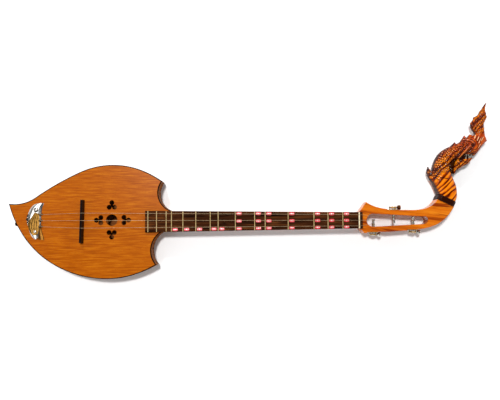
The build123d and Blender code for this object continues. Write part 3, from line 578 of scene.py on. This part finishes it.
# Cuts and ridges of the head: height, half width and the plan points they run through
CARVED_LINES = (
    # Brow rings over the eye
    (-1.7, 0.9, ((835.4, 181.6), (848.8, 178.5), (857.6, 172.5), (861.1, 164.9))),
    (0.8, 1.3, ((838.0, 178.6), (848.6, 175.9), (856.4, 170.0), (859.0, 164.0))),
    (-1.7, 0.9, ((838.5, 175.5), (847.6, 172.9), (853.4, 168.6))),
    (-1.4, 0.8, ((848.0, 184.6), (858.0, 180.6), (864.4, 172.8), (866.6, 164.0))),
    # Smooth cheek that runs down to the corner of the mouth, with a cut on each side
    (0.8, 1.4, ((848.4, 163.5), (840.7, 156.1), (833.0, 147.1), (825.3, 138.2), (821.4, 131.2))),
    (-1.2, 0.6, ((850.6, 161.4), (842.6, 153.8), (835.2, 146.0), (828.4, 137.4), (823.0, 130.6))),
    (-2.0, 0.9, ((853.6, 158.4), (844.6, 151.2), (837.4, 144.8), (831.2, 136.7), (824.6, 130.2))),
    (-1.5, 0.8, ((843.6, 166.0), (835.4, 158.4), (828.0, 149.6), (820.6, 141.2), (816.4, 133.8))),
    # Upper lip and nostril
    (-1.3, 0.8, ((845.6, 147.8), (853.0, 145.4), (861.0, 146.4), (867.4, 153.2), (873.6, 163.0))),
    (-1.3, 0.8, ((856.6, 154.6), (862.4, 155.2), (867.6, 161.4), (873.4, 170.4))),
    # Folds at the foot of the crest
    (1.4, 0.8, ((859.4, 179.2), (863.9, 187.0))),
    (1.4, 0.8, ((864.8, 174.0), (869.4, 183.0))),
    (1.4, 0.8, ((868.4, 169.4), (874.2, 179.6))),
    (1.2, 0.8, ((874.6, 174.4), (879.8, 182.6))),
    (1.2, 0.7, ((869.0, 160.4), (871.9, 166.6))),
    (-1.6, 0.7, ((862.2, 176.4), (866.8, 185.4))),
    (-1.6, 0.7, ((866.8, 171.8), (871.8, 181.6))),
    (-1.6, 0.7, ((871.6, 172.4), (877.0, 181.8))),
    # Jaw line and beard
    (-1.3, 0.8, ((815.6, 106.0), (820.0, 113.4), (828.6, 120.2), (838.6, 127.0), (850.0, 133.6))),
    (-1.5, 0.8, ((824.6, 129.4), (829.6, 126.6), (832.8, 127.9), (832.0, 130.6))),
    (-1.5, 0.8, ((833.8, 131.2), (837.4, 126.8), (841.0, 125.2), (842.4, 128.8))),
    (-1.2, 0.7, ((818.6, 112.4), (822.4, 116.8), (824.8, 121.4), (822.6, 124.4))),
    (-1.2, 0.7, ((826.6, 115.8), (829.6, 119.6), (830.6, 123.6))),
    (-1.2, 0.7, ((834.4, 119.6), (837.4, 122.6), (837.6, 125.4))),
    # Long cuts that sweep out of the curl on the back of the neck
    (-1.3, 0.8, ((757.6, 113.0), (760.6, 103.4), (769.8, 96.4), (783.6, 91.6), (796.0, 90.0))),
    (-1.1, 0.7, ((759.4, 106.0), (763.4, 97.2), (771.0, 90.6), (778.6, 86.4))),
    (-1.0, 0.7, ((771.0, 106.6), (781.0, 104.6), (791.0, 104.6), (799.0, 107.0))),
)


def flame_rings(first, second, tip, low, high):
    """A hooked flame that rises from its two feet and bends to its tip."""
    a, b, end = (np.array(point, float) for point in (first, second, tip))
    middle_low, middle_high = low + (high - low) * 0.22, high - (high - low) * 0.22
    level = (low + high) / 2
    return ribbon(((*a, *b, low, high),
                   (*(a * 0.55 + end * 0.45), *(b * 0.62 + end * 0.38), middle_low, middle_high),
                   (*(a * 0.1 + end * 0.9), *(b * 0.14 + end * 0.86), level - 2, level + 2),
                   (*end, *(end + (0.5, 0.1)), level - 0.7, level + 0.7)), 5, 20, 2.2)


def tooth_rings(place, level, direction, length, width):
    """A round tooth that curves to a point, up or down the plan by its direction."""
    rings = []
    for step in np.linspace(-0.5, 1, 6):
        radius = width * max(0.12, 1 - max(step, 0) ** 1.4)
        bend = 0.25 * length * max(step, 0) ** 2
        rings.append([(place[0] + bend + radius * cos(angle),
                       place[1] + direction * length * step, level + radius * sin(angle))
                      for angle in np.linspace(0, 2 * pi, 12, endpoint=False)])
    return rings


def curve_distance(plan, points, samples=8):
    """Distance of each plan point from a smooth curve, and how far along the curve it is."""
    line = smooth_rows(points, samples)
    best = np.full(len(plan), 1e9)
    along = np.zeros(len(plan))
    travelled = 0.0
    for start, end in zip(line, line[1:]):
        step = end - start
        length = np.hypot(*step)
        part = np.clip((plan - start) @ step / max(length ** 2, 1e-9), 0, 1)
        gap = np.hypot(*(plan - start - part[:, None] * step).T)
        nearer = gap < best
        along[nearer] = (travelled + part * length)[nearer]
        best[nearer] = gap[nearer]
        travelled += length
    return best, along


def ribbon_place(plan, stations):
    """Distance along a ribbon's centreline and signed distance to its left, in millimetres."""
    rows = smooth_rows([station[:4] for station in stations], 8)
    centres = (rows[:, :2] + rows[:, 2:]) / 2
    gaps, along = curve_distance(plan, centres[::2], 3)
    nearest = np.argmin(((plan[:, None, :] - centres[None, ::2, :]) ** 2).sum(2), axis=1)
    leftward = (rows[::2, :2] - rows[::2, 2:])[nearest]
    side = np.sign(((plan - centres[::2][nearest]) * leftward).sum(1))
    return along, side * gaps


def spiral(centre, radius, start, turns, hand=1, points=14):
    """Plan points of a curl that winds inwards."""
    steps = np.linspace(0, 1, points)
    angles = radians(start) + hand * 2 * pi * turns * steps
    reach = radius * (1 - 0.82 * steps)
    return np.stack([centre[0] + reach * np.cos(angles), centre[1] + reach * np.sin(angles)], 1)


def fade(values, low, high):
    """0 below low and 1 above high, smoothly."""
    part = np.clip((values - low) / (high - low), 0, 1)
    return part * part * (3 - 2 * part)


def in_mouth(plan):
    """1 near the line that runs up between the neck and the jaw and into the mouth."""
    gap, _ = curve_distance(plan, MOUTH_LINE)
    return 1 - fade(gap, 7.0, 9.0)


def grooves(phase, width):
    """1 in the middle of a cut at each whole number of the phase, 0 outside its width."""
    return np.clip(1 - np.abs(2 * (phase % 1) - 1) / width, 0, 1)


def carve(plan):
    """Height of the carved relief at each plan point, in millimetres."""
    along, left = ribbon_place(plan, SERPENT)
    x, y = plan[:, 0], plan[:, 1]
    on_crest = fade(y, 189, 194)
    on_jaw = fade(x - y * 0.9, 713, 717) * (1 - fade(y, 134, 139))
    body = fade(along, 56, 68) * (1 - fade(along, 150, 160)) * (1 - on_crest) * (1 - on_jaw)

    # Overlapping scales down the back of the neck
    row = np.floor(along / SCALE_LENGTH)
    place_along = along / SCALE_LENGTH - row - 0.5
    place_across = (left / SCALE_WIDTH + 0.5 * (row % 2)) % 1 - 0.5
    dome = np.clip(1 - (place_along ** 2 + place_across ** 2) / 0.25, 0, 1)
    scales = fade(left, 3.0, 5.0) * fade(along, 50, 56) * (1 - fade(along, 112, 122))
    relief = scales * (2.0 * dome - 1.2 + 0.7 * place_along)

    # Wavy locks of the mane, which follow the head
    wave = left / LOCK_WIDTH + 0.42 * np.sin(2 * pi * along / 19) + along / 90
    mane = body * (1 - scales)
    relief -= mane * (1.9 * grooves(wave, 0.42) + 1.1 * grooves(wave * 2 + 0.5, 0.3))
    relief += mane * 0.5 * np.sin(2 * pi * along / 6.3 + 2.0 * np.sin(left / 2.1))

    # Flame lines of the crest
    crest_along, crest_left = ribbon_place(plan, CREST)
    flow = crest_left / 5.0 + 0.55 * np.sin(2 * pi * crest_along / 23) - crest_along / 60
    relief -= on_crest * (1.9 * grooves(flow, 0.4) + 0.9 * grooves(flow * 2 + 0.5, 0.3))
    relief += on_crest * 0.4 * np.sin(2 * pi * crest_along / 7.1 + 2.0 * np.sin(crest_left / 2.3))

    # Curls in rows behind the cheek, on the crest and at the nostril
    for centre, radius, start, hand in CURLS:
        gap, _ = curve_distance(plan, spiral(centre, radius, start, 1.15, hand), 4)
        inside = np.hypot(x - centre[0], y - centre[1])
        boss = 0.7 * np.exp(-(inside / radius) ** 2)
        relief = relief * fade(inside, 0.4 * radius, radius) + boss
        relief -= 1.8 * np.exp(-(gap / 0.85) ** 2)

    # The lines of the head wipe what they cross
    for height, half_width, line in CARVED_LINES:
        gap, _ = curve_distance(plan, line)
        relief = relief * fade(gap, half_width * 0.6, half_width * 1.8)
        relief += height * np.exp(-(gap / half_width) ** 2)

    # Eye in a deep socket
    eye = np.hypot(x - EYE_PLACE[0], y - EYE_PLACE[1])
    relief = relief * fade(eye, 4.2, 6.2) - 2.4 * (1 - fade(eye, 2.6, 5.2))
    return relief + 1.9 * np.clip(1 - (eye / 2.3) ** 2, 0, 1) ** 0.5


def make_serpent():
    """The fused and carved head, and its teeth."""
    shape = Shape()
    shape.loft(ribbon(SERPENT, 6, 56))
    shape.loft(ribbon(LOWER_JAW, 6, 32, 2.8))
    shape.loft(ribbon(CREST, 6, 32, 2.2))
    shape.loft(ribbon(NECK_CURL, 6, 28, 2.3))
    shape.loft(ribbon(MOUTH_WEB, 6, 28, 6))
    for flame in FLAMES:
        shape.loft(flame_rings(*flame))
    made = shape.piece("naga_carving")
    remesh = made.modifiers.new("fuse", "REMESH")
    remesh.mode = "VOXEL"
    remesh.voxel_size = VOXEL * MM
    soften = made.modifiers.new("soften", "SMOOTH")
    soften.factor = 0.5
    soften.iterations = 3
    apply_modifiers(made)

    mesh = made.data
    count = len(mesh.vertices)
    points, normals = np.zeros(count * 3), np.zeros(count * 3)
    mesh.vertices.foreach_get("co", points)
    mesh.vertices.foreach_get("normal", normals)
    points, normals = points.reshape(-1, 3), normals.reshape(-1, 3)
    relief = carve(points[:, :2] / MM)
    facing = fade(np.abs(normals[:, 2]), 0.05, 0.5)
    from_collar = np.hypot(points[:, 0] / MM - COLLAR_PLACE[0],
                           points[:, 1] / MM - COLLAR_PLACE[1])
    collar_gap = fade(from_collar, 22, 30)
    relief = relief * facing * collar_gap
    level = points[:, 2] / MM
    # Painted shade at the back of the mouth and in the gap behind the jaw
    painted_mouth_shade = in_mouth(points[:, :2] / MM) * (1 - fade(level, WEB_LEVEL - 2, WEB_LEVEL))
    # Side walls are painted dark as shade
    painted_flank_shade = DEEPEST_SHADE * (1 - fade(np.abs(normals[:, 2]), 0.1, 0.7))
    points = points + normals * relief[:, None] * MM
    mesh.vertices.foreach_set("co", points.ravel())
    mesh.update()
    mesh.polygons.foreach_set("use_smooth", [True] * len(mesh.polygons))
    # Painted highlights: pale paint on the highest ridges and on the eye's dome
    painted_glint = mesh.attributes.new("carving_painted_glint", "FLOAT", "POINT")
    painted_glint.data.foreach_set(
        "value", (BRIGHTEST_PAINTED_GLINT * fade(relief, *PAINTED_GLINT_HEIGHTS)).astype(np.float32))
    # Painted shade: dark in the cuts, on the side walls and at the back of the mouth
    depth = mesh.attributes.new("carving_painted_shade", "FLOAT", "POINT")
    depth.data.foreach_set("value", np.clip(
        np.maximum.reduce([-relief / FULL_SHADE, painted_mouth_shade, painted_flank_shade]),
        0, DEEPEST_SHADE).astype(np.float32))
    dress(carved_wood(), "naga_carving")
    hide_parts("naga_head")
    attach(made, "instrument")

    teeth = Shape()
    for height in TOOTH_ROWS:
        for place in UPPER_TEETH:
            teeth.loft(tooth_rings(place, height, -1, 4.4, 1.7))
        for place in LOWER_TEETH:
            teeth.loft(tooth_rings(place, height, 1, 4.0, 1.5))
    pale = teeth.piece("naga_teeth")
    dress(bone("tooth_bone", srgb(92, 82, 68), srgb(150, 140, 124)), "naga_teeth")
    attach(pale, "instrument")


make_serpent()


# ------------------------------------------------------------------ tailpiece
SOUNDBOARD_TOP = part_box("soundboard")[1].z / MM
PLATE_BASE = SOUNDBOARD_TOP + 0.02
# Plan edges from the bass end to the treble end
TAIL_PLATE = (
    (-98.5, 41.8, -86.0, 41.8), (-105.0, 39.8, -88.0, 37.0), (-111.0, 35.5, -89.8, 32.0),
    (-116.0, 28.5, -91.0, 24.0), (-119.8, 20.0, -91.5, 16.0), (-122.0, 13.0, -92.0, 9.0),
    (-122.8, 5.0, -92.0, 2.0), (-121.5, -3.0, -92.0, -5.0), (-119.2, -12.0, -93.0, -12.0),
    (-116.5, -20.0, -95.5, -20.0), (-113.0, -28.5, -96.5, -27.0), (-109.0, -33.8, -98.0, -32.0),
    (-104.8, -37.0, -101.0, -36.0),
)
TAIL_LEG = (
    (-95.8, -8.0, -92.2, -7.0), (-96.4, -17.0, -91.0, -15.0), (-97.4, -26.0, -88.6, -24.5),
    (-98.6, -33.0, -86.2, -31.5), (-99.5, -36.0, -84.5, -38.6),
)
TAIL_PANEL = (
    (-107.0, 22.5, -96.5, 18.5), (-112.5, 14.5, -95.0, 10.5), (-119.0, 3.0, -95.0, 0.0),
    (-119.9, -8.0, -95.8, -12.0), (-114.8, -22.0, -98.0, -25.0), (-108.5, -28.0, -100.4, -28.5),
)
# A dark ring about the tail screw, which stands in for the shadow around its head
SHADOW_RING_PLACE = (-102.9, 26.9)
# Pegs in the plate that hold the strings' loops: their x, and the y of each string
TAIL_PEG_X = -93.5
STRING_PLACES = (-9.6, 3.4, 16.6)
# Feet, tip and top level of each hook on the plate's tail edge
TAIL_HOOKS = (
    ((-121, 12.5), (-120.5, 1.0), (-125.3, 6.4), 47.4),
    ((-119.5, 18.5), (-121.5, 11.5), (-123.6, 13.2), 47.2),
    ((-121.5, 2.5), (-119, -6.5), (-123.6, -0.8), 47.2),
)
# Profiles from the bottom up: radius and level
SHADOW_RING_PROFILE = ((5.2, 46.2), (5.2, 46.6), (4.9, 46.8), (3.7, 46.8))
PEG_PROFILE = ((1.5, 46.2), (1.5, 50.7), (2.1, 50.9), (2.2, 51.4), (2.0, 51.9), (1.4, 52.3),
               (0.6, 52.5))


def plate_rings(stations, base, height, ribs=0):
    """Rings of a plate with a flat underside, a domed top and lengthwise ribs."""
    rings = []
    for lx, ly, rx, ry in smooth_rows(stations, 8):
        top = []
        for a in np.sin(np.linspace(-pi / 2, pi / 2, 40)):
            level = base + 0.25 + height * (1 - abs(a) ** 4.0)
            if ribs:
                level += 0.16 * (cos(pi * ribs * (a + 1)) - 1) * (1 - abs(a) ** 6)
            top.append(((lx + rx) / 2 + a * (rx - lx) / 2, (ly + ry) / 2 + a * (ry - ly) / 2,
                        level))
        rings.append(top + [(rx, ry, base), (lx, ly, base)])
    return rings


def wedge(shape, foot, other_foot, tip, low, high):
    """Adds a tapered tooth from two feet to a tip."""
    a, b, end = (np.array(point, float) for point in (foot, other_foot, tip))
    rings = []
    for part in (0.0, 0.35, 0.7, 1.0):
        first, second = a + (end - a) * part * 0.96, b + (end - b) * part * 0.96
        top = high - (high - low) * 0.45 * part
        rings.append([(*first, low), (*second, low),
                      (*(second * 0.85 + first * 0.15), top),
                      (*(first * 0.85 + second * 0.15), top)])
    shape.loft(rings)


def finish_piece(piece, body, material, replaced=None):
    """Gives a new piece its material, its body and the CAD node it stands for."""
    dress(material, piece.name)
    if replaced:
        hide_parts(replaced)
    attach(piece, body)


def turned_rings(profile, x, y, sides):
    """Rings about an upright line at x and y, from radii and levels."""
    return [[(x + radius * cos(t), y + radius * sin(t), level)
             for t in np.linspace(0, 2 * pi, sides, endpoint=False)]
            for radius, level in profile]


def make_tailpiece():
    """Plate, gilt panel and leg, hooks, a dark ring painted as the shadow around the tail screw,
    and string pegs.
    """
    plate = Shape()
    plate.loft(plate_rings(TAIL_PLATE, PLATE_BASE, 1.3))
    finish_piece(plate.piece("tail_plate", 40), "instrument",
                 metal("tail_chrome", srgb(250, 248, 244), srgb(196, 190, 180), 0.12), "tailpiece")
    gilt = metal("tail_gilt", srgb(140, 102, 46), srgb(84, 58, 22), 0.3, (160, 420, 160))
    panel = Shape()
    panel.loft(plate_rings(TAIL_PANEL, PLATE_BASE + 0.9, 1.0, ribs=5))
    finish_piece(panel.piece("tail_panel", 40), "instrument", gilt)
    leg = Shape()
    leg.loft(plate_rings(TAIL_LEG, PLATE_BASE, 1.5, ribs=2))
    worn = metal("tail_worn_gilt", srgb(128, 86, 34), srgb(58, 34, 10), 0.34, (160, 420, 160))
    finish_piece(leg.piece("tail_leg", 40), "instrument", worn)

    dark = metal("tail_dark_steel", srgb(92, 80, 66), srgb(22, 16, 12), 0.3)
    teeth = Shape()
    for y in STRING_PLACES:
        wedge(teeth, (-93, y + 4.4), (-93, y - 2.0), (-87.2, y + 0.6), PLATE_BASE, 48.4)
    for foot, other_foot, tip, top in TAIL_HOOKS:
        wedge(teeth, foot, other_foot, tip, PLATE_BASE, top)
    finish_piece(teeth.piece("tail_teeth", 30), "instrument", dark)

    # A dark ring stands in for the shadow around the tail screw's head
    ring = Shape()
    ring.loft(turned_rings(SHADOW_RING_PROFILE, *SHADOW_RING_PLACE, 32))
    finish_piece(ring.piece("tail_washer", 40), "instrument", dark)

    pegs = Shape()
    for y in STRING_PLACES:
        pegs.loft(turned_rings(PEG_PROFILE, TAIL_PEG_X, y, 24))
    finish_piece(pegs.piece("tail_pegs", 40), "instrument", dark)


make_tailpiece()


# ------------------------------------------------------------------ buttons and windings
KNOB_FLUTES, FLUTE_DEPTH = 14, 0.55
WIRE_RADIUS, WINDING_TURNS = 0.32, 3.9


def fluted_rings(profile, start, centre_y, centre_z):
    """Rings about a line along X, from distances along it, radii and shares of the flutes."""
    rings = []
    for along, radius, cut in profile:
        rings.append([(start + along, centre_y + reach * cos(t), centre_z + reach * sin(t))
                      for t in np.linspace(0, 2 * pi, 64, endpoint=False)
                      for reach in [radius - cut * FLUTE_DEPTH
                                    * (0.5 + 0.5 * cos(KNOB_FLUTES * t))]])
    return rings


def make_button(number, material):
    """A fluted knob with a collar, in the space of its CAD button."""
    low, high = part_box(f"button_{number}")
    y, z = (low.y + high.y) / 2 / MM, (low.z + high.z) / 2 / MM
    length, radius = (high.x - low.x) / MM, (high.y - low.y) / 2 / MM
    profile = ((0, 1.6, 0), (0, 2.6, 0), (0.5, 2.9, 0), (1.2, 2.8, 0), (1.7, 3.6, 0),
               (2.2, radius - 0.5, 0), (2.7, radius, 0.2), (3.4, radius, 1),
               (length - 2.4, radius, 1), (length - 1.6, radius, 0.2),
               (length - 0.8, radius - 0.45, 0), (length - 0.25, radius - 1.3, 0),
               (length, radius - 2.4, 0), (length, 1.0, 0))
    shape = Shape()
    shape.loft(fluted_rings(profile, low.x / MM, y, z))
    finish_piece(shape.piece(f"knob_{number}", 35), f"worm_turn_{number}",
                 material, f"button_{number}")


knob_chrome = metal("knob_chrome", srgb(240, 236, 228), srgb(120, 112, 102), 0.16)
knob_brown = metal("knob_brown", srgb(120, 76, 44), srgb(44, 22, 12), 0.2)
for number, material in ((1, knob_chrome), (2, knob_brown), (3, knob_chrome)):
    make_button(number, material)


def tube(points, radius):
    """Rings of a round wire along a line of points."""
    points = np.array(points, float)
    heading = np.gradient(points, axis=0)
    heading /= np.linalg.norm(heading, axis=1)[:, None]
    rings, side = [], np.cross(heading[0], (0.0, 1.0, 0.1))
    for point, forward in zip(points, heading):
        side = side - forward * side.dot(forward)
        side /= np.linalg.norm(side)
        other = np.cross(forward, side)
        rings.append([tuple(point + radius * (cos(t) * side + sin(t) * other))
                      for t in np.linspace(0, 2 * pi, 10, endpoint=False)])
    return rings


def make_winding(number):
    """The string's turns on its post, as one helix about the post's axis."""
    low, high = (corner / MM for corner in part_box(f"winding_{number}"))
    x, z = (low.x + high.x) / 2, (low.z + high.z) / 2
    reach = (high.x - low.x) / 2 - WIRE_RADIUS
    path = []
    for part in np.linspace(0, 1, 140):
        angle = 2 * pi * WINDING_TURNS * part + pi / 2
        path.append((x + reach * cos(angle),
                     low.y + WIRE_RADIUS + (high.y - low.y - 2 * WIRE_RADIUS) * part,
                     z + reach * sin(angle)))
    shape = Shape()
    shape.loft(tube(path, WIRE_RADIUS - 0.01))
    finish_piece(shape.piece(f"string_turns_{number}"), f"post_turn_{number}",
                 wire_steel, f"winding_{number}")


for number in (1, 2, 3):
    make_winding(number)


# ------------------------------------------------------------------ white marks on the stickers
TRIPLE_FRETS, SINGLE_FRETS = (1, 2, 3, 4, 5, 6, 7), (8, 9, 10, 11, 12)
# Half widths of the fretboard at its two ends, and where the outer stickers sit across it
BOARD_HALF_WIDE, BOARD_HALF_NARROW, OUTER_ROW = 23.3, 17.6, 0.78
STICKER_OFFSET = 8.0
# Place along the sticker and the two radii of each mark
MARKS = ((-3.4, 0.85, 0.85), (0, 1.7, 1.25), (3.4, 0.85, 0.85))


def make_marker_marks():
    """A plain bar between two dots on every sticker, beside its fret."""
    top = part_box("fret_markers")[1].z / MM
    board_low, board_high = (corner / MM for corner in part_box("fretboard"))
    shape = Shape()
    for fret in TRIPLE_FRETS + SINGLE_FRETS:
        low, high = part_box(f"fret_{fret:02d}")
        x = (low.x + high.x) / 2 / MM + STICKER_OFFSET
        part = (x - board_low.x) / (board_high.x - board_low.x)
        half = BOARD_HALF_WIDE + (BOARD_HALF_NARROW - BOARD_HALF_WIDE) * part
        for row in ((-1, 0, 1) if fret in TRIPLE_FRETS else (-1,)):
            y = row * OUTER_ROW * half
            for dx, rx, ry in MARKS:
                rings = []
                for level, scale in ((top - 0.03, 1.0), (top + 0.03, 1.0), (top + 0.06, 0.8)):
                    rings.append([(x + dx + scale * rx * cos(t), y + scale * ry * sin(t), level)
                                  for t in np.linspace(0, 2 * pi, 20, endpoint=False)])
                shape.loft(rings)
    paint = Paint("sticker_white", roughness=0.35, coat=0.3)
    tone = paint.noise(paint.stretch((500, 500, 500)), 3)
    paint.colour(paint.ramp(tone, (0.3, srgb(236, 214, 214)), (0.7, srgb(250, 244, 242))))
    finish_piece(shape.piece("marker_marks", 40), "instrument", paint.material)


make_marker_marks()
